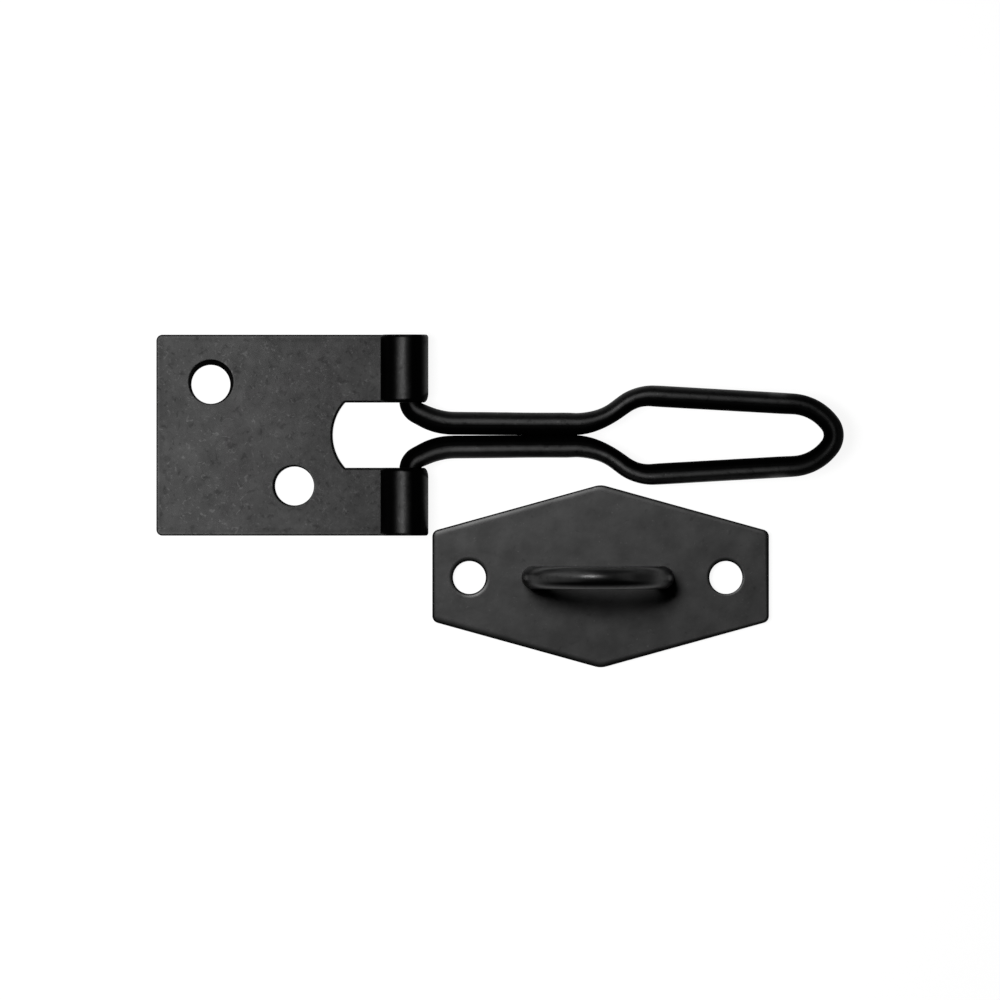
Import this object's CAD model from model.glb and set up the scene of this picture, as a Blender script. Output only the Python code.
import logging
import math
from collections.abc import Callable, Sequence
from dataclasses import dataclass, replace
from enum import Enum

import bpy
import numpy as np
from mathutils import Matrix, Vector, geometry, noise


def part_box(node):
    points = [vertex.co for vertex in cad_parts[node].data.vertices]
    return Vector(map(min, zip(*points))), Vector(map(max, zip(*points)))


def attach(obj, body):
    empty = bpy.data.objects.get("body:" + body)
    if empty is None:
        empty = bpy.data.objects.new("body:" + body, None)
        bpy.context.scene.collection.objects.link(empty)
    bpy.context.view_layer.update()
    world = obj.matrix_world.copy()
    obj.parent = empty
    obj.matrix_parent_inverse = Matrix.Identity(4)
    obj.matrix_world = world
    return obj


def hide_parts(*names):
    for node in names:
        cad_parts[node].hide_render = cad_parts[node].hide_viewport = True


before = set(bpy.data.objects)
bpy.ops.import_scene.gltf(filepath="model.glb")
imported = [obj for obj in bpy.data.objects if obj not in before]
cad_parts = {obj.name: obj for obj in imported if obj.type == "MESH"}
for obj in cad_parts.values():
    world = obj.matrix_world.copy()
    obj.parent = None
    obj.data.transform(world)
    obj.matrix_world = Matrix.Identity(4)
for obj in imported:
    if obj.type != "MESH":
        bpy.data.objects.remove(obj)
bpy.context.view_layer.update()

# A wire hasp and staple in near-black powder coat. Sizes are in millimetres up to the moment a mesh is made.

log = logging.getLogger("wire_hasp")
MM = 0.001
EDGE_GLOSS = "edge_gloss"
# How far a mesh's own gloss values reach to each side of 0.
GLOSS_REACH = 4.0
# How far a face has turned from the eye, from 0 to 1, where its gloss starts to fall and where it has fallen.
TO_FLANK = (0.12, 0.34)
TO_GLANCE = (0.55, 0.85)
# How far a noise rises from the start of a fleck or a pit to its full strength.
FLECK_RAMP = 0.12
# Which part of a noise's range is spread out for a change of tone, and for a change of height.
TONE_RANGE = (0.3, 0.7)
HEIGHT_RANGE = (0.2, 0.8)
# About how wide a feature of a noise of scale 1 is.
NOISE_FEATURE = 0.6
# Angle in degrees from which an edge stays sharp.
SHARP_FROM = 50.0

Flat = tuple[float, float]
Point = tuple[float, float, float]
Socket = bpy.types.NodeSocket
Item = bpy.types.Object


class Body(Enum):
    """The bodies that move against each other."""

    LEAF = "leaf"
    HASP = "hasp"
    STAPLE = "staple"


class Coat(Enum):
    """The record's material slots."""

    SHEET = "coated_sheet"
    WIRE = "coated_wire"


class Wiring:
    """Adds nodes to a tree and links them."""

    def __init__(self, tree: bpy.types.NodeTree) -> None:
        """Keeps the tree that it works on."""
        self.nodes, self.links = tree.nodes, tree.links

    def add(self, kind: str, inputs: dict[str | int, Socket | float | Sequence[float]]) -> bpy.types.Node:
        """Adds a node and feeds its inputs.

        Args:
            kind: Its type, without ShaderNode.
            inputs: The number that each input is set to, or what is linked to it.

        Returns:
            The node.
        """
        node = self.nodes.new("ShaderNode" + kind)
        for entry, value in inputs.items():
            if isinstance(value, Socket):
                self.links.new(value, node.inputs[entry])
            else:
                node.inputs[entry].default_value = value
        return node

    def joined(self, operation: str, *values: Socket | float) -> Socket:
        """Joins some values into one.

        Args:
            operation: ADD, MULTIPLY or MAXIMUM.
            values: The values.

        Returns:
            The result.
        """
        total = values[0]
        for value in values[1:]:
            step = self.add("Math", {0: total, 1: value})
            step.operation = operation
            total = step.outputs[0]
        return total

    def ranged(
        self, value: Socket, low: float, high: float, start: Socket | float, end: float, way: str = "LINEAR"
    ) -> Socket:
        """Spreads a value from one range to another, held at the ends.

        Args:
            value: The value.
            low: Where its range starts.
            high: Where its range ends.
            start: What low becomes.
            end: What high becomes.
            way: LINEAR, or SMOOTHSTEP for soft ends.

        Returns:
            The new value.
        """
        inputs = {"Value": value, "From Min": low, "From Max": high, "To Min": start, "To Max": end}
        node = self.add("MapRange", inputs)
        node.interpolation_type = way
        return node.outputs["Result"]

    def seen(self) -> Socket:
        """1 for what the camera sees straight, mirrored or through glass, and 0 for light on its way."""
        rays = self.nodes.new("ShaderNodeLightPath").outputs
        return self.joined("MAXIMUM", *(rays[f"Is {k} Ray"] for k in ("Camera", "Glossy", "Transmission")))


@dataclass(frozen=True)
class PowderCoat:
    """Near-black powder coat: a dull film with orange peel, slow waves, uneven gloss, flecks and pits.

    Depths are in millimetres, and each pattern's size is the width of one of its features. A pit is
    pit_scale times as wide as a fleck, and a cloud cloud_scale times as wide as a wave. Mottle, flecks and
    pits are shares by which the gloss rises or falls, and tint is the share by which the colour does. The
    share flank_gloss is left of the gloss where a face turns away from the eye, and glance_gloss where it
    is nearly edge-on. By edge_gain the gloss rises for each unit of a mesh's own gloss values, and by cloud
    the roughness varies.
    """

    name: str
    colour: tuple[float, float, float]
    roughness: float
    specular: float
    peel_size: float
    peel_depth: float
    wave_size: float
    wave_depth: float
    mottle_size: float
    mottle: float
    fleck_size: float
    fleck_from: float
    fleck_gain: float
    pit_from: float
    pit_loss: float
    flank_gloss: float = 0.45
    glance_gloss: float = 0.12
    edge_gain: float = 0.3
    cloud: float = 0.02
    tint: float = 0.3
    pit_scale: float = 1.3
    cloud_scale: float = 1.7

    def material(self) -> bpy.types.Material:
        """Builds the node material.

        Returns:
            The material, ready for a mesh.
        """
        made = bpy.data.materials.new(self.name)
        made.use_nodes = True
        nodes, links = made.node_tree.nodes, made.node_tree.links
        wiring = Wiring(made.node_tree)
        joined, ranged = wiring.joined, wiring.ranged
        shader = nodes["Principled BSDF"]
        place = nodes.new("ShaderNodeTexCoord").outputs["Object"]

        def pattern(size: float, detail: float, rough: float = 0.5, twist: float = 0.0) -> Socket:
            """A noise whose features are size millimetres wide.

            Args:
                size: Width of one feature.
                detail: How many finer layers it has.
                rough: How strong the finer layers are.
                twist: How much its features are drawn out and bent.

            Returns:
                The noise's value.
            """
            numbers = {"Scale": NOISE_FEATURE / (size * MM), "Detail": detail, "Roughness": rough}
            return wiring.add("TexNoise", {**numbers, "Distortion": twist, "Vector": place}).outputs["Fac"]

        mottle = pattern(self.mottle_size, 3.0, 0.6)
        flecks = pattern(self.fleck_size, 1.5, 0.6, 1.6)
        pits = pattern(self.fleck_size * self.pit_scale, 1.0, 0.5, 0.6)
        clouds = pattern(self.wave_size * self.cloud_scale, 2.0)
        gloss, fleck_from, pit_from = self.specular, self.fleck_from, 1 - self.pit_from
        shine = joined(
            "ADD",
            ranged(mottle, *TONE_RANGE, gloss * (1 - self.mottle), gloss * (1 + self.mottle)),
            ranged(flecks, fleck_from, fleck_from + FLECK_RAMP, 0, gloss * self.fleck_gain),
            ranged(pits, pit_from, pit_from + FLECK_RAMP, -gloss * self.pit_loss, 0),
        )
        height = joined(
            "ADD",
            ranged(pattern(self.peel_size, 3.0, 0.55), *HEIGHT_RANGE, 0, self.peel_depth),
            ranged(pattern(self.wave_size, 1.0), *HEIGHT_RANGE, 0, self.wave_depth),
        )
        bump = wiring.add("Bump", {"Distance": MM, "Height": height})
        links.new(bump.outputs["Normal"], shader.inputs["Normal"])
        facing = wiring.add("LayerWeight", {"Blend": 0.5}).outputs["Facing"]
        edge = nodes.new("ShaderNodeAttribute")
        edge.attribute_name = EDGE_GLOSS
        most = GLOSS_REACH * self.edge_gain
        shine = joined(
            "MULTIPLY",
            shine,
            ranged(facing, *TO_FLANK, 1.0, self.flank_gloss),
            ranged(facing, *TO_GLANCE, 1.0, self.glance_gloss),
            ranged(edge.outputs["Fac"], -GLOSS_REACH, GLOSS_REACH, 1 - most, 1 + most),
        )
        links.new(shine, shader.inputs["Specular IOR Level"])
        rough = ranged(clouds, *TONE_RANGE, self.roughness - self.cloud, self.roughness + self.cloud)
        links.new(rough, shader.inputs["Roughness"])
        tint = nodes.new("ShaderNodeMix")
        tint.data_type = "RGBA"
        for entry, share in (("A", 1 - self.tint), ("B", 1 + self.tint)):
            tint.inputs[entry].default_value = (*(c * share for c in self.colour), 1)
        links.new(ranged(clouds, *TONE_RANGE, 0, 1), tint.inputs["Factor"])
        links.new(tint.outputs["Result"], shader.inputs["Base Color"])
        return made


class Edge(Enum):
    """The form of a sheet's front edge."""

    ROUNDED = "rounded"
    SLOPED = "sloped"


@dataclass(frozen=True)
class Rim:
    """How a pressed sheet's edge is worn: widths lie along its faces, depths through it.

    The guard is how far the flat goes on before the flat_rows, which lead over to its filling. The brink is
    how far the outermost stretch of the front edge, brink_width wide, drops on top of the rest. The coat is
    dull on the very edge, by edge_gloss, and inside_gloss is its gloss on the last rows before the flat.
    """

    front_width: float
    front_depth: float
    back_width: float
    back_depth: float
    edge: Edge = Edge.ROUNDED
    guard: float = 0.2
    flat_rows: tuple[float, ...] = (0.0, 0.25, 1.0)
    steps: int = 7
    brink: float = 0.0
    brink_width: float = 0.15
    slope_power: float = 1.25
    edge_gloss: float = -3.0
    inside_gloss: tuple[float, ...] = (0.0, 0.3, 0.3, -0.5, 0.0)

    def section(self, thickness: float) -> list[Flat]:
        """The edge's section, from the back face round to the front face.

        Args:
            thickness: Thickness of the sheet.

        Returns:
            How far in from the outline and how high each row of points lies.
        """
        turns = [math.pi / 2 * i / self.steps for i in range(self.steps + 1)]
        rounding = [(1 - math.cos(a), 1 - math.sin(a)) for a in turns]
        back = [(self.back_width * x, self.back_depth * z) for x, z in reversed(rounding)]
        if self.edge is Edge.SLOPED:
            shares = [i / self.steps for i in range(self.steps + 1)]
            rounding = [(s, (1 - s) ** self.slope_power) for s in shares]
        front = [(self.front_width * x, thickness - self.front_depth * z) for x, z in rounding]
        front = [(x, z - self.brink * max(0.0, 1 - x / self.brink_width) ** 2) for x, z in front]
        flat = [(self.front_width + self.guard + on, thickness) for on in self.flat_rows]
        return [(self.back_width + self.guard, 0.0), *back, *front, *flat]

    @property
    def gloss(self) -> list[float]:
        """How much glossier the coat is at each row of the section, from the back face to the front face."""
        return [0.0] * (self.steps + 2) + [self.edge_gloss] * (self.steps - 1) + [*self.inside_gloss]


class Mesher:
    """Gathers the points and faces of one piece, in millimetres, and turns them into an object."""

    def __init__(self) -> None:
        """Starts empty."""
        self.points: list[Point] = []
        self.gloss: list[float] = []
        self.faces: list[Sequence[int]] = []

    def row(self, points: Sequence[Point], gloss: float | Sequence[float] = 0.0) -> list[int]:
        """Adds a row of points.

        Args:
            points: The points in order.
            gloss: How much glossier the coat is there, from -4 to 4, for all of them or for each.

        Returns:
            Their numbers.
        """
        start = len(self.points)
        self.points.extend(points)
        self.gloss.extend([gloss] * len(points) if isinstance(gloss, float) else gloss)
        return list(range(start, len(self.points)))

    def skin(self, rows: Sequence[Sequence[int]], closed: bool = False) -> None:
        """Joins rows of equal length, each to the next, with four-sided faces.

        Args:
            rows: The rows. Seen from outside they run to the right, and each lies above the last.
            closed: Whether the rows run round to their start.
        """
        for low, high in zip(rows, rows[1:]):
            for i in range(len(low) if closed else len(low) - 1):
                j = (i + 1) % len(low)
                self.faces.append((low[i], low[j], high[j], high[i]))

    def fill(self, outline: Sequence[int], holes: Sequence[Sequence[int]], upwards: bool) -> None:
        """Fills a flat outline that may have holes.

        Args:
            outline: Numbers of its points in order.
            holes: Numbers of each hole's points in order.
            upwards: Whether the faces look along +Z.
        """
        loops = [list(outline), *[list(h) for h in holes]]
        order = [i for loop in loops for i in loop]
        flat = [[Vector((self.points[i][0], self.points[i][1], 0)) for i in loop] for loop in loops]
        for tri in geometry.tessellate_polygon(flat):
            a, b, c = (order[i] for i in tri)
            pa, pb, pc = (self.points[i] for i in (a, b, c))
            turn = (pb[0] - pa[0]) * (pc[1] - pa[1]) - (pb[1] - pa[1]) * (pc[0] - pa[0])
            self.faces.append((a, b, c) if (turn > 0) == upwards else (a, c, b))

    def made(self, name: str, finish: bpy.types.Material) -> Item:
        """Makes the object.

        Args:
            name: The piece's name.
            finish: Its material.

        Returns:
            The object, at the origin.
        """
        mesh = bpy.data.meshes.new(name)
        mesh.from_pydata([tuple(c * MM for c in p) for p in self.points], [], self.faces)
        spread(mesh, EDGE_GLOSS, self.gloss)
        mesh.validate()
        mesh.materials.append(finish)
        return finished(name, mesh)


def set_out(name: str, data: bpy.types.ID) -> Item:
    """Makes an object of a mesh, a light or a camera and puts it in the scene, at the origin."""
    item = bpy.data.objects.new(name, data)
    bpy.context.scene.collection.objects.link(item)
    return item


def spread(mesh: bpy.types.Mesh, name: str, values: Sequence[float]) -> None:
    """Writes one value on each point of a mesh, under a name."""
    mesh.attributes.new(name, "FLOAT", "POINT").data.foreach_set("value", values)


def finished(name: str, mesh: bpy.types.Mesh) -> Item:
    """Shades a mesh smooth between its sharp edges and puts it in the scene.

    Args:
        name: The piece's name.
        mesh: Its mesh.

    Returns:
        The object, at the origin.
    """
    mesh.shade_smooth()
    mesh.set_sharp_from_angle(angle=math.radians(SHARP_FROM))
    return set_out(name, mesh)


def volume(mesh: bpy.types.Mesh) -> float:
    """The volume that a mesh encloses, below zero where its faces look inwards.

    Args:
        mesh: A closed mesh.

    Returns:
        The volume in cubic millimetres.
    """
    mesh.calc_loop_triangles()
    spots = np.array([v.co for v in mesh.vertices]).reshape(-1, 3)
    tris = np.array([t.vertices[:] for t in mesh.loop_triangles])
    a, b, c = (spots[tris[:, i]] for i in range(3))
    return float(np.einsum("ij,ij->i", a, np.cross(b, c)).sum() / 6 * 1e9)


def circle(middle: Flat, radius: Callable[[float], float] | float, count: int = 96) -> list[Flat]:
    """Points round a hole, turning clockwise so that the sheet stays on the left.

    Args:
        middle: Middle of the hole.
        radius: Its radius, or a function of the direction.
        count: Number of points.

    Returns:
        The points.
    """
    reach = radius if callable(radius) else lambda _: radius
    turns = (-2 * math.pi * i / count for i in range(count))
    return [(middle[0] + reach(a) * math.cos(a), middle[1] + reach(a) * math.sin(a)) for a in turns]


def arc(middle: Flat, radius: float, start: float, end: float, count: int) -> list[Flat]:
    """Points along a part of a circle, from one direction in radians to another."""
    turns = (start + (end - start) * i / (count - 1) for i in range(count))
    return [(middle[0] + radius * math.cos(a), middle[1] + radius * math.sin(a)) for a in turns]


@dataclass(frozen=True)
class ScrewHole:
    """A punched hole whose lip slopes into it, wider on one side.

    The brim is how much glossier the coat is on the innermost share of the lip, brim_share, the sheen on
    the lip's narrow side and the shade on its wide side. The back rows are given by how far out from the
    hole's wall and how high they lie, and the lip's rows by shares of its width.
    """

    middle: Flat
    radius: float
    lip: float
    wide_side: float
    unevenness: float
    slope: float
    least: float = 0.06
    easing: float = 1.25
    brim: float = -3.0
    sheen: float = 0.0
    shade: float = 0.0
    brim_share: float = 0.3
    guard: float = 0.2
    back_rows: tuple[Flat, ...] = ((0.35, 0.0), (0.15, 0.0), (0.04, 0.04), (0.0, 0.15))
    lip_rows: tuple[float, ...] = (0.0, 0.2, 0.4, 0.6, 0.8, 0.92, 1.0)

    def facing(self, direction: float) -> float:
        """How far a direction in radians points to the lip's wide side, from -1 to 1."""
        return math.cos(direction - math.radians(self.wide_side))

    def lip_width(self, direction: float) -> float:
        """Width of the lip in one direction from the hole's middle, in radians."""
        return max(self.least, self.lip * (1 + self.unevenness * self.facing(direction)))

    def cut(self, mesher: Mesher, thickness: float) -> tuple[list[int], list[int]]:
        """Makes the hole's wall and lip.

        Args:
            mesher: Where the faces go.
            thickness: Thickness of the sheet.

        Returns:
            The outermost row on the back face and on the front face.
        """
        rows = []
        for out, z in self.back_rows:
            rows.append(mesher.row([(x, y, z) for x, y in circle(self.middle, self.radius + out)]))
        for share in self.lip_rows:
            row, gloss = [], []
            for x, y in circle((0.0, 0.0), 1.0):
                width = self.lip_width(math.atan2(y, x))
                facing = self.facing(math.atan2(y, x))
                level = (self.shade if facing > 0 else self.sheen) * facing**2
                gloss.append(self.brim if share < self.brim_share else level * (share < 1))
                reach = self.radius + width * share
                deep = self.slope * width * (1 - share) ** self.easing
                row.append((self.middle[0] + reach * x, self.middle[1] + reach * y, thickness - deep))
            rows.append(mesher.row(row, gloss))
        beyond = circle(self.middle, lambda a: self.radius + self.lip_width(a) + self.guard)
        rows.append(mesher.row([(x, y, thickness) for x, y in beyond]))
        mesher.skin(rows, closed=True)
        return rows[0], rows[-1]


@dataclass(frozen=True)
class HingeLeaf:
    """The pressed leaf: a blank with two screw holes and a notch, and two tongues rolled into knuckles.

    The rolled edge of a tongue is rounded by edge_round, over edge_rows. The inner end of a knuckle is
    drawn in round the turn draw_turn, over draw_spread degrees, where its rounding grows by draw_width and
    draw_depth.
    """

    finish: PowderCoat
    sheet_t: float = 1.1
    length: float = 41.5
    width: float = 33.6
    corner_r: float = 1.0
    free_edge: float = 16.1
    knuckle_r: float = 4.0
    roll_turn: float = 314.43
    notch_w: float = 10.9
    notch_reach: float = 12.0
    notch_bottom_r: float = 8.15
    holes: tuple[ScrewHole, ...] = (
        ScrewHole((-7.0, 8.5), 3.25, 0.5, 82.0, 0.85, 0.8, shade=-2.6),
        ScrewHole((7.0, -8.5), 3.25, 0.19, 160.0, 0.8, 0.8, shade=-2.6),
    )
    rim: Rim = Rim(0.22, 0.26, 0.50, 0.42)
    notch_rim: Rim = Rim(0.27, 0.26, 0.50, 0.42, Edge.SLOPED)
    roll_steps: int = 126
    edge_round: float = 0.22
    edge_rows: tuple[float, ...] = (0.22, 0.15, 0.08, 0.03, 0.0)
    draw_turn: float = 92.0
    draw_spread: float = 42.0
    draw_width: float = 2.2
    draw_depth: float = 0.8
    mouth_gloss: float = -3.3
    # Extra gloss round a knuckle by turn of the roll, row by row: outer side, top and the side over the leaf.
    knuckle_gloss: tuple[Flat, ...] = (
        (106.0, -1.0), (119.0, -0.5), (138.0, -3.4), (160.0, -3.2),
        (170.0, 3.5), (176.0, 3.0), (184.0, 0.3), (191.0, -1.4), (203.0, -2.1),
        (213.0, -3.2), (250.0, -3.2), (265.0, -2.0), (314.0, -1.0),
    )

    @property
    def hinge_x(self) -> float:
        """Where the flat sheet ends and the roll starts."""
        return self.length - self.free_edge

    def tongue(self) -> list[Flat]:
        """Stations along a rolled tongue.

        Returns:
            The turn in degrees at each, and how far its section has shrunk for the rounded free edge.
        """
        stations = [(self.roll_turn * i / self.roll_steps, 0.0) for i in range(1, self.roll_steps)]
        rounding, per_degree = self.edge_round, math.radians(self.knuckle_r)
        for back in self.edge_rows:
            short = rounding - math.sqrt(rounding**2 - (rounding - back) ** 2)
            stations.append((self.roll_turn - back / per_degree, short))
        return stations

    def drawn_in(self, turn: float) -> float:
        """How far a knuckle's inner end is drawn in at one turn in degrees, as a share of the full draw."""
        return math.exp(-(((turn - self.draw_turn) / self.draw_spread) ** 2))

    def rolled_gloss(self, turn: float) -> float:
        """How much glossier the coat is on the outside of a knuckle, at one turn in degrees."""
        return float(np.interp(turn, *zip(*self.knuckle_gloss)))

    def rolled(self, turn: float, y: float, depth: float) -> Point:
        """A tongue's point at a turn in degrees, a place across the leaf and a depth above its back face."""
        a, r = math.radians(turn), self.knuckle_r - depth
        return (self.hinge_x + r * math.sin(a), y, self.knuckle_r - r * math.cos(a))

    def tongue_row(self, edge: float, inward: int, inset: float, height: float, drawn: bool) -> list[Point]:
        """One row of points along a tongue, starting next to the flat.

        Args:
            edge: Place of the tongue's edge across the leaf.
            inward: 1 or -1, from the edge into the tongue.
            inset: How far in from the edge the row lies.
            height: How high above the blank's back face it lies.
            drawn: Whether the knuckle's end is drawn in there.

        Returns:
            The points.
        """
        mid = self.sheet_t / 2
        points = []
        for turn, short in self.tongue():
            share = self.drawn_in(turn) if drawn else 0.0
            along = inset * (1 + self.draw_width * share) + short
            deep = mid + (height * (1 + self.draw_depth * share) - mid) * (1 - short / mid)
            points.append(self.rolled(turn, edge + inward * along, deep))
        return points

    def outer_line(self, inset: float) -> list[Flat]:
        """The leaf's outline in the flat, from the upper tongue round the free edge to the lower tongue.

        Args:
            inset: How far in from the outline.

        Returns:
            The points.
        """
        half, left, r = self.width / 2 - inset, inset - self.free_edge, max(self.corner_r - inset, 0.1)
        corner = arc((left + r, half - r), r, math.pi / 2, math.pi, count=10)
        upper = [(self.hinge_x, half), *corner]
        return upper + [(x, -y) for x, y in reversed(upper)]

    def notch_line(self, inset: float) -> list[Flat]:
        """The notch in the flat, from the lower tongue round its curved bottom to the upper tongue.

        Args:
            inset: How far in from the outline.

        Returns:
            The points.
        """
        half, r = self.notch_w / 2 + inset, self.notch_bottom_r + inset
        middle = self.hinge_x - self.notch_reach + self.notch_bottom_r
        reach = math.asin(half / r)
        bottom = arc((middle, 0), r, math.pi + reach, math.pi - reach, count=40)
        return [(self.hinge_x, -half), *bottom, (self.hinge_x, half)]

    def build(self) -> Item:
        """Builds the leaf.

        Returns:
            The piece.
        """
        mesher = Mesher()
        turns = [turn for turn, _ in self.tongue()]
        sections = (rim.section(self.sheet_t) for rim in (self.rim, self.notch_rim))
        w, n = self.width / 2, self.notch_w / 2
        outer, notch = [], []
        for k, ((inset, height), (mouth_inset, mouth_height)) in enumerate(zip(*sections)):
            on_back = k <= self.rim.steps + 1
            upper, lower = (self.tongue_row(side * w, -side, inset, height, False) for side in (1, -1))
            flat = [(x, y, height) for x, y in self.outer_line(inset)]
            turned = [self.rolled_gloss(turn) if on_back else 0.0 for turn in turns]
            level = self.rim.gloss[k]
            outer.append(mesher.row(upper[::-1] + flat + lower, turned[::-1] + [level] * len(flat) + turned))
            upper, lower = (
                self.tongue_row(side * n, side, mouth_inset, mouth_height, on_back) for side in (1, -1)
            )
            flat = [(x, y, mouth_height) for x, y in self.notch_line(mouth_inset)]
            if 1 <= k <= self.rim.steps:
                turned = [self.mouth_gloss] * len(turned)
            notch.append(mesher.row(lower[::-1] + flat + upper, turned[::-1] + [0.0] * len(flat) + turned))
        mesher.skin(outer)
        mesher.skin(notch)
        reach = len(turns) + 1
        rims = [hole.cut(mesher, self.sheet_t) for hole in self.holes]
        for side, upwards in ((0, False), (-1, True)):
            edge, mouth = outer[side], notch[side]
            flat = edge[reach - 1 : 1 - reach] + mouth[reach - 1 : 1 - reach]
            mesher.fill(flat, [r[side] for r in rims], upwards)
            upper = (mouth[-reach:], edge[reach - 1 :: -1])
            lower = (edge[-reach:], mouth[reach - 1 :: -1])
            for pair in (upper, lower):
                mesher.skin(pair if upwards else pair[::-1])
        mesher.faces.append([r[0] for r in outer] + [r[-1] for r in reversed(notch)])
        mesher.faces.append([r[0] for r in notch] + [r[-1] for r in reversed(outer)])
        piece = mesher.made("rolled_leaf", self.finish.material())
        return placed(piece, Body.LEAF, "hinge_leaf")


@dataclass(frozen=True)
class StapleHalf:
    """What the plate and the staple share: their place, and the tails that pass through the plate."""

    finish: PowderCoat
    middle: Flat = (57.7, -23.8)
    half_span: float = 10.8
    sheet_t: float = 1.1
    tail_r: float = 1.3
    peen_r: float = 2.1
    peen_depth: float = 0.6


@dataclass(frozen=True)
class StaplePlate(StapleHalf):
    """The six-sided plate with two screw holes and two countersunk holes for the staple's tails.

    The screw holes are placed from the plate's middle. The outermost share of the rim, brink_share, is
    dulled by brink_gloss, and the rim at the left edge by left_gloss, which fades inwards.
    """

    outline_off: Flat = (0.5, 0.2)
    width: float = 56.3
    height: float = 30.7
    side: float = 15.1
    corner_r: float = 1.2
    point_r: float = 3.5
    holes: tuple[ScrewHole, ...] = (
        ScrewHole((-21.45, 0.0), 2.75, 0.75, 108.0, 0.05, 0.155, easing=2.3, sheen=0.5),
        ScrewHole((21.45, 0.0), 2.75, 0.55, 95.0, 0.3, 0.14, easing=2.3),
    )
    rim: Rim = Rim(1.10, 0.19, 0.20, 0.20, brink=0.11)
    rim_shares: tuple[float, ...] = (0.42, 0.62, 0.8, 0.9, 1.0, 0.85)
    brink_gloss: float = -3.0
    brink_share: float = 0.3
    left_gloss: float = -1.8
    left_width: float = 0.25
    hole_guard: float = 0.2

    def outline(self, inset: float) -> list[Flat]:
        """The plate's outline, drawn in by a distance that differs from corner to corner.

        Args:
            inset: How far in from the outline at the widest corner.

        Returns:
            The points, turning counterclockwise.
        """
        w, h, s = self.width / 2, self.height / 2, self.side / 2
        corners = [Vector(p) for p in ((w, -s), (w, s), (0, h), (-w, s), (-w, -s), (0, -h))]
        radii = [self.point_r if c[0] == 0 else self.corner_r for c in corners]
        points = []
        for i, (corner, radius) in enumerate(zip(corners, radii)):
            before = (corner - corners[i - 1]).normalized()
            after = (corners[(i + 1) % 6] - corner).normalized()
            inner = [Vector((-d.y, d.x)) for d in (before, after)]
            bisector = (inner[0] + inner[1]).normalized()
            drawn = inset * self.rim_shares[i]
            r = max(radius - drawn, 0.25)
            centre = corner + bisector * (drawn + r) / bisector.dot(inner[0])
            start = math.atan2(-inner[0].y, -inner[0].x)
            turn = before.angle_signed(after)
            points += arc(tuple(centre), r, start, start - turn, count=12)
        shift = [a + b for a, b in zip(self.middle, self.outline_off)]
        return [(shift[0] + x, shift[1] + y) for x, y in points]

    def build(self) -> Item:
        """Builds the plate.

        Returns:
            The piece.
        """
        mesher = Mesher()
        rows = []
        for k, (inset, height) in enumerate(self.rim.section(self.sheet_t)):
            outline = self.outline(inset)
            left = min(x for x, _ in outline) + self.left_width
            inwards = (k - self.rim.steps - 2) / (self.rim.steps + 1)
            plain = self.brink_gloss if 0 <= inwards < self.brink_share else 0.0
            dull = min(plain, self.left_gloss * (1 - inwards)) if 0 <= inwards < 1 else 0.0
            gloss = [dull if x < left else plain for x, _ in outline]
            rows.append(mesher.row([(x, y, height) for x, y in outline], gloss))
        mesher.skin(rows, closed=True)
        rims = []
        for hole in self.holes:
            middle = (self.middle[0] + hole.middle[0], self.middle[1] + hole.middle[1])
            rims.append(replace(hole, middle=middle).cut(mesher, self.sheet_t))
        for side in (-1, 1):
            middle = (self.middle[0] + side * self.half_span, self.middle[1])
            wide, narrow, top = self.peen_r, self.tail_r, self.sheet_t
            cone = ((wide, 0.0), (narrow, self.peen_depth), (narrow, top))
            steps = ((wide + self.hole_guard, 0.0), *cone, (narrow + self.hole_guard / 2, top))
            wall = [mesher.row([(x, y, z) for x, y in circle(middle, r, count=48)]) for r, z in steps]
            mesher.skin(wall, closed=True)
            rims.append((wall[0], wall[-1]))
        mesher.fill(rows[0], [r[0] for r in rims], upwards=False)
        mesher.fill(rows[-1], [r[1] for r in rims], upwards=True)
        piece = mesher.made("six_sided_plate", self.finish.material())
        return placed(piece, Body.STAPLE, "staple_plate")


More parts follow.
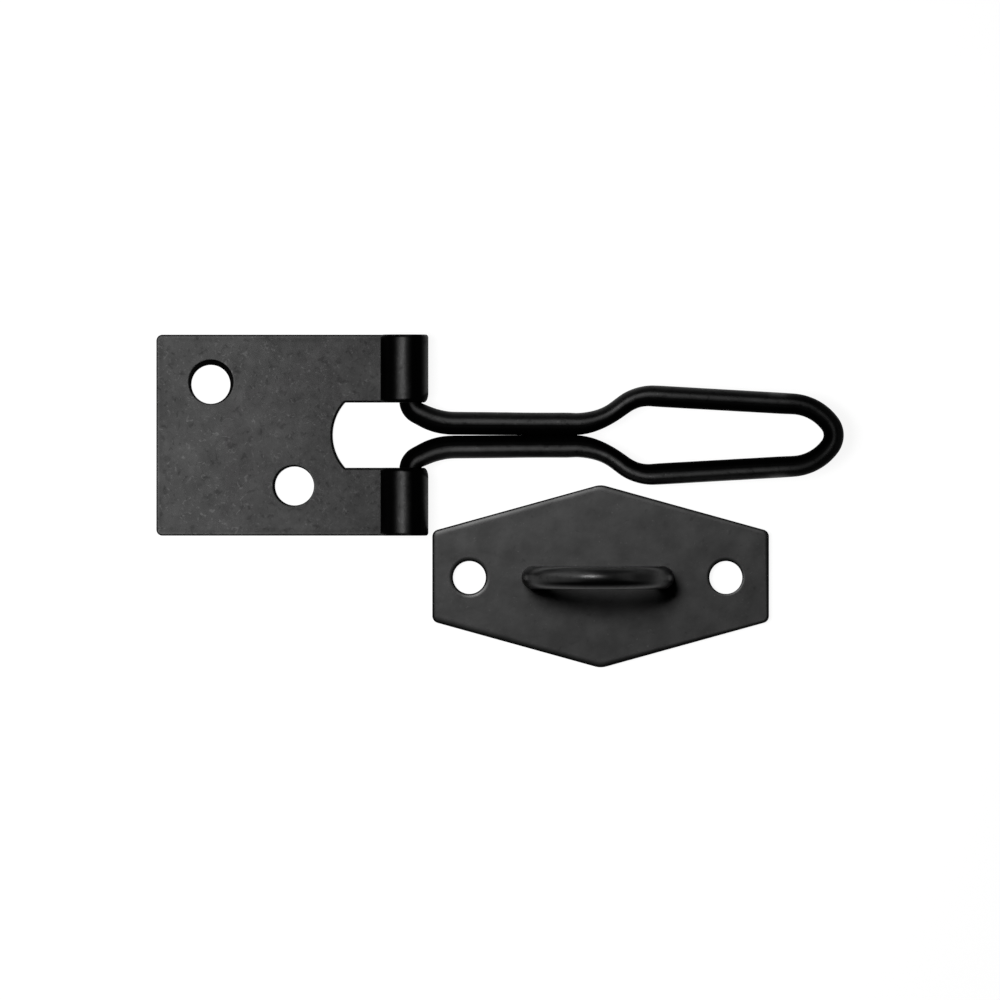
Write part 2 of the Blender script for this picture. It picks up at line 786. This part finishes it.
@dataclass(frozen=True)
class WirePath:
    """A wire's middle line with its thickness along it, swept by a node tree into a round wire."""

    name: str
    points: list[Point]
    girths: list[float]
    radius: float
    sides: int = 48

    def tree(self, finish: bpy.types.Material) -> tuple[bpy.types.NodeTree, dict[str, str]]:
        """Builds the sweep.

        Args:
            finish: The wire's material.

        Returns:
            The tree, and the identifier of each named input.
        """
        tree = bpy.data.node_groups.new(self.name + "_sweep", "GeometryNodeTree")
        sockets = {}
        for label, kind in (("Geometry", "Geometry"), ("Wire radius", "Float"), ("Sides", "Int")):
            made = tree.interface.new_socket(label, in_out="INPUT", socket_type="NodeSocket" + kind)
            sockets[label] = made.identifier
        tree.interface.new_socket("Geometry", in_out="OUTPUT", socket_type="NodeSocketGeometry")
        given, result = (tree.nodes.new("NodeGroup" + way) for way in ("Input", "Output"))
        line, girth, profile, sweep, smooth, plain, dress = (
            tree.nodes.new("GeometryNode" + kind)
            for kind in (
                "MeshToCurve", "InputNamedAttribute", "CurvePrimitiveCircle", "CurveToMesh",
                "SetShadeSmooth", "RealizeInstances", "SetMaterial",
            )
        )
        girth.data_type = "FLOAT"
        girth.inputs["Name"].default_value = "girth"
        sweep.inputs["Fill Caps"].default_value = True
        dress.inputs["Material"].default_value = finish
        for source, output, target, entry in (
            (given, "Geometry", line, "Mesh"),
            (given, "Wire radius", profile, "Radius"),
            (given, "Sides", profile, "Resolution"),
            (line, "Curve", sweep, "Curve"),
            (profile, "Curve", sweep, "Profile Curve"),
            (girth, "Attribute", sweep, "Scale"),
            (sweep, "Mesh", smooth, "Geometry"),
            (smooth, "Geometry", plain, "Geometry"),
            (plain, "Geometry", dress, "Geometry"),
            (dress, "Geometry", result, "Geometry"),
        ):
            tree.links.new(source.outputs[output], target.inputs[entry])
        return tree, sockets

    def swept(self, finish: bpy.types.Material) -> bpy.types.Mesh:
        """Sweeps the wire and turns it into a plain mesh.

        Args:
            finish: The wire's material.

        Returns:
            The mesh, in metres, with its faces outwards.
        """
        line = bpy.data.meshes.new(self.name + "_line")
        spots = [tuple(c * MM for c in p) for p in self.points]
        line.from_pydata(spots, [(i, i + 1) for i in range(len(spots) - 1)], [])
        spread(line, "girth", self.girths)
        carrier = set_out(self.name + "_carrier", line)
        tree, sockets = self.tree(finish)
        modifier = carrier.modifiers.new("sweep", "NODES")
        modifier.node_group = tree
        modifier[sockets["Wire radius"]] = self.radius * MM
        modifier[sockets["Sides"]] = self.sides
        depsgraph = bpy.context.evaluated_depsgraph_get()
        mesh = bpy.data.meshes.new_from_object(carrier.evaluated_get(depsgraph))
        carrier.modifiers.clear()
        bpy.data.objects.remove(carrier)
        if volume(mesh) < 0:
            mesh.flip_normals()
        return mesh


@dataclass(frozen=True)
class WireHasp:
    """The hasp: one wire bent from a hinge pin over elbow, neck, shoulder and tip to the other hinge pin.

    The corners hold the place along the hasp from its pins, the place across it and the bend's radius. A
    bend has a point every bend_step degrees. In the neck, the two halves may touch, sunk into each other by
    touch. Beyond the mouth, which is a place along and one across the hasp, the wire lies in its knuckle
    and is never thicker than a plain wire. By waver its thickness is uneven, and by gloss_waver the line
    where its dull side starts.
    """

    finish: PowderCoat
    wire_r: float = 1.8
    pintle_x: float = 26.3415
    pintle_z: float = 3.6941
    pintle_out: float = 16.3
    corners: tuple[Point, ...] = (
        (0.0, 4.3, 2.3),
        (4.8, 2.0, 11.5),
        (31.2, 1.79, 12.4),
        (37.9, 6.7, 7.5),
        (67.8, 5.0, 8.2),
        (71.6, 0.0, 3.2),
    )
    neck: Flat = (5.0, 30.0)
    touch: float = 0.0003
    mouth: Flat = (28.0, 5.0)
    spacing: float = 0.9
    least_gap: float = 0.5
    bend_step: float = 3.0
    least_steps: int = 8
    waver: float = 0.005
    gloss_waver: float = 0.03
    pin_end: tuple[Flat, ...] = ((0.0, 0.86), (0.1, 0.94), (0.25, 0.985), (0.45, 1.0))
    dull_reach: float = 0.13
    flank_from: float = 0.45
    flank_ramp: float = 0.2
    # Share of the gloss that is left on top of the wire, by row: elbow, neck, shoulder, loop and tip.
    crown_gloss: tuple[Flat, ...] = (
        (26.0, 0.8), (30.5, 0.6),
        (33.0, 0.9), (38.0, 0.93), (46.0, 0.76), (54.0, 0.82),
        (57.3, 0.66), (60.6, 1.4), (66.0, 0.75),
        (74.0, 0.48), (88.0, 0.44),
        (91.0, 0.28), (94.5, 0.25), (98.0, 0.6),
    )
    # The same on its outer side, with the bright mark before the tip.
    flank_gloss: tuple[Flat, ...] = (
        (28.0, 0.1), (33.5, 1.0), (85.9, 1.0), (87.0, 2.4), (88.4, 2.2), (89.6, 0.4), (92.0, 0.1),
    )
    # Width across the hasp at distances from its pins, by row: elbow, neck, shoulder, then loop and tip.
    girth_table: tuple[Flat, ...] = (
        (0.0, 1.0), (1.8, 1.005), (2.8, 1.055), (4.6, 1.08),
        (6.7, 1.066), (14.0, 1.062), (20.0, 1.045), (26.0, 1.045),
        (28.4, 1.02), (29.8, 0.99), (31.1, 0.94), (32.4, 0.89), (33.8, 0.87), (36.4, 0.9), (37.8, 0.91),
        (39.1, 0.94), (40.5, 0.975), (42.0, 0.99), (62.0, 0.985), (64.6, 0.965), (68.0, 0.95), (71.0, 0.94),
    )

    def middle_line(self) -> list[Flat]:
        """The wire's middle line seen from above, with true bends at its corners.

        Returns:
            The points.
        """
        half = [(0.0, self.pintle_out, 0.0), *self.corners]
        full = half + [(x, -y, r) for x, y, r in reversed(half[:-1])]
        points: list[Flat] = []
        spots = [Vector((self.pintle_x + x, y)) for x, y, _ in full]
        last = len(full) - 1
        for i, (spot, (_, _, radius)) in enumerate(zip(spots, full)):
            if i in (0, last):
                reach = [spot]
            else:
                back, on = (spots[i - 1] - spot).normalized(), (spots[i + 1] - spot).normalized()
                half_angle = back.angle(on) / 2
                centre = spot + (back + on).normalized() * radius / math.sin(half_angle)
                start = spot + back * radius / math.tan(half_angle) - centre
                turn = (math.pi - 2 * half_angle) * (-1 if start.cross(on) < 0 else 1)
                count = max(self.least_steps, round(abs(math.degrees(turn)) / self.bend_step))
                base = math.atan2(start.y, start.x)
                reach = [Vector(p) for p in arc(tuple(centre), radius, base, base + turn, count)]
            if points:
                gap = reach[0] - Vector(points[-1])
                for _ in range(1, max(1, round(gap.length / self.spacing))):
                    step = Vector(points[-1]) + gap.normalized() * self.spacing
                    if (reach[0] - step).length > self.least_gap:
                        points.append(tuple(step))
            points += [tuple(p) for p in reach]
        return points

    def width(self, x: float) -> float:
        """The wire's width across the hasp at a place along it, as a share of its full thickness."""
        return float(np.interp(x - self.pintle_x, *zip(*self.girth_table)))

    def girth(self, x: float, y: float) -> float:
        """The wire's thickness at a place, a little uneven, as a share of its full thickness."""
        share = self.width(x) * (1 + self.waver * noise.noise(Vector((x * 0.35, abs(y) * 0.35, 3.1))))
        return min(share, 1.0) if x < self.mouth[0] and abs(y) > self.mouth[1] else share

    def beside(self, x: float, y: float) -> float:
        """The place across the hasp of a point of the middle line: in the neck, the halves just touch."""
        least = self.girth(x, y) * self.wire_r - self.touch
        return math.copysign(max(abs(y), least), y) if self.neck[0] < x - self.pintle_x < self.neck[1] else y

    def set_gloss(self, mesh: bpy.types.Mesh, line: Sequence[Point]) -> None:
        """Sets the coat's gloss along the wire, with its inner side dull.

        Args:
            mesh: The wire's mesh, in metres.
            line: Its middle line, in millimetres.
        """
        path = np.array([p[:2] for p in line])
        along = np.gradient(path, axis=0)
        outward = np.stack((-along[:, 1], along[:, 0]), axis=1) / np.linalg.norm(along, axis=1)[:, None]
        spots = np.array([v.co[:2] for v in mesh.vertices]) / MM
        nearest = np.argmin(((spots[:, None, :] - path[None, :, :]) ** 2).sum(2), axis=1)
        side = ((spots - path[nearest]) * outward[nearest]).sum(1) / self.wire_r
        uneven = self.gloss_waver * np.array([noise.noise(Vector((x * 0.9, y * 0.9, 7.7))) for x, y in spots])
        crown = np.interp(spots[:, 0], *zip(*self.crown_gloss))
        flank = np.interp(spots[:, 0], *zip(*self.flank_gloss))
        on_flank = np.clip((side - self.flank_from) / self.flank_ramp, 0, 1)
        share = crown * (1 - on_flank) + flank * on_flank
        gloss = np.clip((side + uneven) / self.dull_reach, -1, 1) * share + share - 1
        spread(mesh, EDGE_GLOSS, gloss)

    def build(self) -> Item:
        """Builds the hasp.

        Returns:
            The piece.
        """
        line = [(x, self.beside(x, y)) for x, y in self.middle_line()]
        points = [(x, y, self.pintle_z) for x, y in line]
        girths = [self.girth(x, y) for x, y in line]
        upper, lower = (
            [(x, y - math.copysign(back, y), z) for back, _ in self.pin_end]
            for x, y, z in (points[0], points[-1])
        )
        shares = [share for _, share in self.pin_end]
        points = upper + points[1:-1] + lower[::-1]
        girths = shares + girths[1:-1] + shares[::-1]
        mesh = WirePath("bent_wire", points, girths, self.wire_r).swept(self.finish.material())
        self.set_gloss(mesh, points)
        for vertex in mesh.vertices:
            x, _, z = (c / MM for c in vertex.co)
            vertex.co.z = (self.pintle_z + (z - self.pintle_z) / self.width(x)) * MM
        piece = finished("bent_wire_hasp", mesh)
        return placed(piece, Body.HASP, "wire_hasp")


@dataclass(frozen=True)
class StapleLoop(StapleHalf):
    """The staple: one wire bent to an arch, whose tails pass through the plate and are peened flush.

    On top of its crown, the coat has a dull band along the lower side, a dull patch to the right and
    brighter ends with a dip along their middle. Places across the crown, and the widths of these, are
    shares of the wire's radius. The peened end is rounded by peen_edge, inwards and upwards, and the leg is
    wider by burr where it meets the plate.
    """

    wire_r: float = 1.9
    leg_h: float = 6.3
    peen_edge: Flat = (0.06, 0.03)
    burr: float = 0.03
    foot_h: float = 0.4
    leg_rows: int = 8
    arch_points: int = 73
    band_side: float = -0.5
    band_wide: float = 0.24
    band_half: float = 10.3
    patch_loss: float = 0.65
    patch_at: float = 7.5
    patch_half: float = 1.9
    patch_wide: float = 0.5
    end_gain: float = 1.4
    end_ramp: float = 0.6
    end_dip: float = 1.35
    dip_wide: float = 0.4

    def gloss(self, x: float, y: float) -> float:
        """How much glossier the coat is on top of the crown.

        Args:
            x: Place in the plate's length.
            y: Place across the plate.

        Returns:
            The gloss, below 0 where it is dull.
        """
        along, side = x - self.middle[0], (y - self.middle[1]) / self.wire_r
        end = min(1.0, max(0.0, (abs(along) - self.half_span) / self.end_ramp))
        bright = self.end_gain * end * (1 - self.end_dip * math.exp(-((side / self.dip_wide) ** 2)))
        band = math.exp(-(((side - self.band_side) / self.band_wide) ** 2) - (along / self.band_half) ** 8)
        off_patch = ((along - self.patch_at) / self.patch_half) ** 4 + (side / self.patch_wide) ** 4
        return bright - max(band, self.patch_loss * math.exp(-off_patch))

    def build(self) -> Item:
        """Builds the staple.

        Returns:
            The piece.
        """
        t, r = self.sheet_t, self.wire_r
        # Height and thickness from the peened end of a tail up to where the plain leg starts.
        foot = [
            (0.0, (self.peen_r - self.peen_edge[0]) / r),
            (self.peen_edge[1], self.peen_r / r),
            (self.peen_depth, self.tail_r / r),
            (t - 0.005, self.tail_r / r),
            (t, (r + self.burr) / r),
            (t + 0.05, (r + self.burr / 2) / r),
            (t + self.foot_h, 1.0),
        ]
        rows, rise = self.leg_rows, self.leg_h - self.foot_h
        leg = foot + [(t + self.foot_h + rise * k / rows, 1.0) for k in range(1, rows)]
        arch = arc((0, t + self.leg_h), self.half_span, math.pi, 0, self.arch_points)
        side = [(-self.half_span, z, g) for z, g in leg]
        line = side + [(x, z, 1.0) for x, z in arch] + [(-x, z, g) for x, z, g in reversed(side)]
        points = [(self.middle[0] + x, self.middle[1], z) for x, z, _ in line]
        mesh = WirePath("arched_wire", points, [g for _, _, g in line], r).swept(self.finish.material())
        spots = [tuple(c / MM for c in vertex.co) for vertex in mesh.vertices]
        gloss = [self.gloss(x, y) if z > self.leg_h else 0.0 for x, y, z in spots]
        spread(mesh, EDGE_GLOSS, gloss)
        piece = finished("arched_staple", mesh)
        return placed(piece, Body.STAPLE, "staple_loop")


def placed(piece: Item, body: Body, node: str) -> Item:
    """Lets a piece ride on its body in place of its solid, and reports it.

    Args:
        piece: The piece.
        body: The body that it moves with.
        node: The solid that it stands for.

    Returns:
        The piece.
    """
    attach(piece, body.value)
    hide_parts(node)
    low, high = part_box(node)
    spots = np.array([v.co for v in piece.data.vertices]).reshape(-1, 3)
    past = max(*(np.array(low) - spots.min(0)), *(spots.max(0) - np.array(high)))
    log.info(
        "%s: %d faces, %.0f cubic mm, reaches %.3f mm past its solid",
        piece.name, len(piece.data.polygons), volume(piece.data), past / MM,
    )
    return piece


@dataclass(frozen=True)
class Softbox:
    """A square softbox that lights some of the pieces; every piece still throws its shadow."""

    name: str
    place: Point
    aim: Point
    size: float
    share: float = 1.0

    def hang(self, lit: Sequence[Item]) -> None:
        """Hangs the softbox, at full share so strong that a matt white floor at its aim would show as white.

        Args:
            lit: What it lights.
        """
        place, aim = (Vector(p) * MM for p in (self.place, self.aim))
        ray = aim - place
        light = bpy.data.lights.new(self.name, "AREA")
        light.shape = "SQUARE"
        light.size = self.size * MM
        light.energy = self.share * (math.pi * ray.length) ** 2 / abs(ray.normalized().z)
        lamp = set_out(self.name, light)
        lamp.location = place
        lamp.rotation_euler = ray.to_track_quat("-Z", "Y").to_euler()
        lamp.visible_camera = False
        receivers = bpy.data.collections.new(self.name + "_lights")
        for piece in lit:
            receivers.objects.link(piece)
        lamp.light_linking.receiver_collection = receivers


@dataclass(frozen=True)
class Studio:
    """A pale floor, softboxes for each group of pieces, and a camera with a long lens straight above.

    The fill is the world's level overhead and the horizon its level near the ground. It changes between two
    heights of a direction, horizon_top and fill_from, which run from 0 at the ground to 1 overhead.
    """

    view_middle: Flat = (41.37, -10.84)
    view_width: float = 167.3
    camera_height: float = 3000.0
    film_width: float = 36.0
    fill: float = 0.004
    horizon: float = 0.3
    horizon_top: float = 0.2
    fill_from: float = 0.7
    floor_half: float = 3000.0
    floor_drop: float = 0.05
    floor_grey: float = 0.16
    floor_glow: float = 0.91
    leaf_lamp: Softbox = Softbox("leaf_softbox", (-46.0, 0.0, 235.6), (25.0, 0.0, 2.0), 130.0)
    wire_lamps: tuple[Softbox, ...] = (
        Softbox("upper_wire_softbox", (60.0, 90.0, 235.0), (60.0, 0.0, 2.0), 170.0, 0.62),
        Softbox("lower_wire_softbox", (60.0, -90.0, 235.0), (60.0, 0.0, 2.0), 170.0, 0.62),
    )
    staple_lamp: Softbox = Softbox("staple_softbox", (-50.0, 126.0, 520.0), (57.7, -23.8, 1.1), 145.0, 0.95)
    staple_cards: tuple[Softbox, ...] = (
        Softbox("upper_card", (-187.0, 221.0, 230.0), (57.7, -23.8, 10.0), 420.0, 0.36),
        Softbox("left_card", (-300.0, -30.0, 150.0), (57.7, -23.8, 10.0), 700.0, 0.5),
        Softbox("right_card", (420.0, 60.0, 150.0), (57.7, -23.8, 10.0), 600.0, 0.22),
    )

    def floor(self) -> Item:
        """Lays the floor: it shows white to the camera and keeps the object's shadow.

        Returns:
            The floor.
        """
        mesh = bpy.data.meshes.new("floor")
        half, height = self.floor_half * MM, -self.floor_drop * MM
        corners = [(-half, -half), (half, -half), (half, half), (-half, half)]
        mesh.from_pydata([(x, y, height) for x, y in corners], [], [(0, 1, 2, 3)])
        paper = bpy.data.materials.new("pale_paper")
        paper.use_nodes = True
        wiring = Wiring(paper.node_tree)
        wiring.nodes.remove(wiring.nodes["Principled BSDF"])
        dull = wiring.add("BsdfDiffuse", {"Color": (*[self.floor_grey] * 3, 1)})
        level = wiring.joined("MULTIPLY", wiring.seen(), self.floor_glow)
        glow = wiring.add("Emission", {"Strength": level})
        both = wiring.add("AddShader", {0: dull.outputs[0], 1: glow.outputs[0]})
        wiring.links.new(both.outputs[0], wiring.nodes["Material Output"].inputs["Surface"])
        mesh.materials.append(paper)
        floor = set_out("floor", mesh)
        return floor

    def surroundings(self) -> None:
        """Sets a white backdrop for the camera, and for everything else a low fill, paler at the horizon."""
        world = bpy.data.worlds.new("studio")
        world.use_nodes = True
        bpy.context.scene.world = world
        wiring = Wiring(world.node_tree)
        back = wiring.nodes["Background"].inputs
        back["Color"].default_value = (1, 1, 1, 1)
        straight = wiring.add("LightPath", {}).outputs["Is Camera Ray"]
        way = wiring.add("SeparateXYZ", {"Vector": wiring.add("TexCoord", {}).outputs["Generated"]})
        heights = (self.horizon_top, self.fill_from)
        glow = wiring.ranged(way.outputs["Z"], *heights, self.horizon, self.fill, way="SMOOTHSTEP")
        wiring.links.new(wiring.ranged(straight, 0.0, 1.0, glow, 1.0), back["Strength"])

    def camera(self) -> None:
        """Sets the camera straight above."""
        data = bpy.data.cameras.new("camera")
        data.sensor_width = self.film_width
        data.lens = self.film_width * self.camera_height / self.view_width
        camera = set_out("camera", data)
        camera.location = Vector((*self.view_middle, self.camera_height)) * MM
        bpy.context.scene.camera = camera

    def build(self, leaf: Item, hasp: Item, plate: Item, staple: Item) -> None:
        """Builds the studio round the part.

        Args:
            leaf: The leaf.
            hasp: The wire hasp.
            plate: The staple's plate.
            staple: The staple.
        """
        self.camera()
        floor = self.floor()
        self.surroundings()
        self.leaf_lamp.hang([leaf, floor])
        for lamp in self.wire_lamps:
            lamp.hang([hasp])
        self.staple_lamp.hang([plate, staple])
        for card in self.staple_cards:
            card.hang([staple])
        bpy.context.scene.view_settings.view_transform = "Standard"


def main() -> None:
    """Builds the four pieces and the studio."""
    logging.basicConfig(level=logging.INFO, format="%(name)s: %(message)s")
    black = (0.0004, 0.0004, 0.00042)
    leaf_coat = PowderCoat(
        "coated_leaf", black, 0.33, 0.138,
        peel_size=1.2, peel_depth=0.012, wave_size=5.0, wave_depth=0.02, mottle_size=1.5, mottle=0.18,
        fleck_size=0.5, fleck_from=0.605, fleck_gain=0.65, pit_from=0.71, pit_loss=0.28, edge_gain=0.28,
    )
    plate_coat = PowderCoat(
        "coated_plate", black, 0.38, 0.252,
        peel_size=1.1, peel_depth=0.006, wave_size=4.0, wave_depth=0.02, mottle_size=2.2, mottle=0.16,
        fleck_size=0.35, fleck_from=0.68, fleck_gain=0.8, pit_from=0.80, pit_loss=0.2,
    )
    wire_coat = PowderCoat(
        "coated_wire", black, 0.34, 0.11,
        peel_size=0.8, peel_depth=0.004, wave_size=3.0, wave_depth=0.015, mottle_size=1.2, mottle=0.18,
        fleck_size=0.4, fleck_from=0.64, fleck_gain=0.8, pit_from=0.72, pit_loss=0.4, edge_gain=0.95,
    )
    staple_coat = replace(
        wire_coat, name="coated_staple", roughness=0.33, specular=0.2, mottle=0.10,
        fleck_from=0.69, fleck_gain=0.4, pit_loss=0.3, flank_gloss=0.9, glance_gloss=0.25, edge_gain=0.9,
    )
    leaf = HingeLeaf(leaf_coat).build()
    hasp = WireHasp(wire_coat).build()
    plate = StaplePlate(plate_coat).build()
    staple = StapleLoop(staple_coat).build()
    Studio().build(leaf, hasp, plate, staple)


if __name__ == "__main__":
    main()
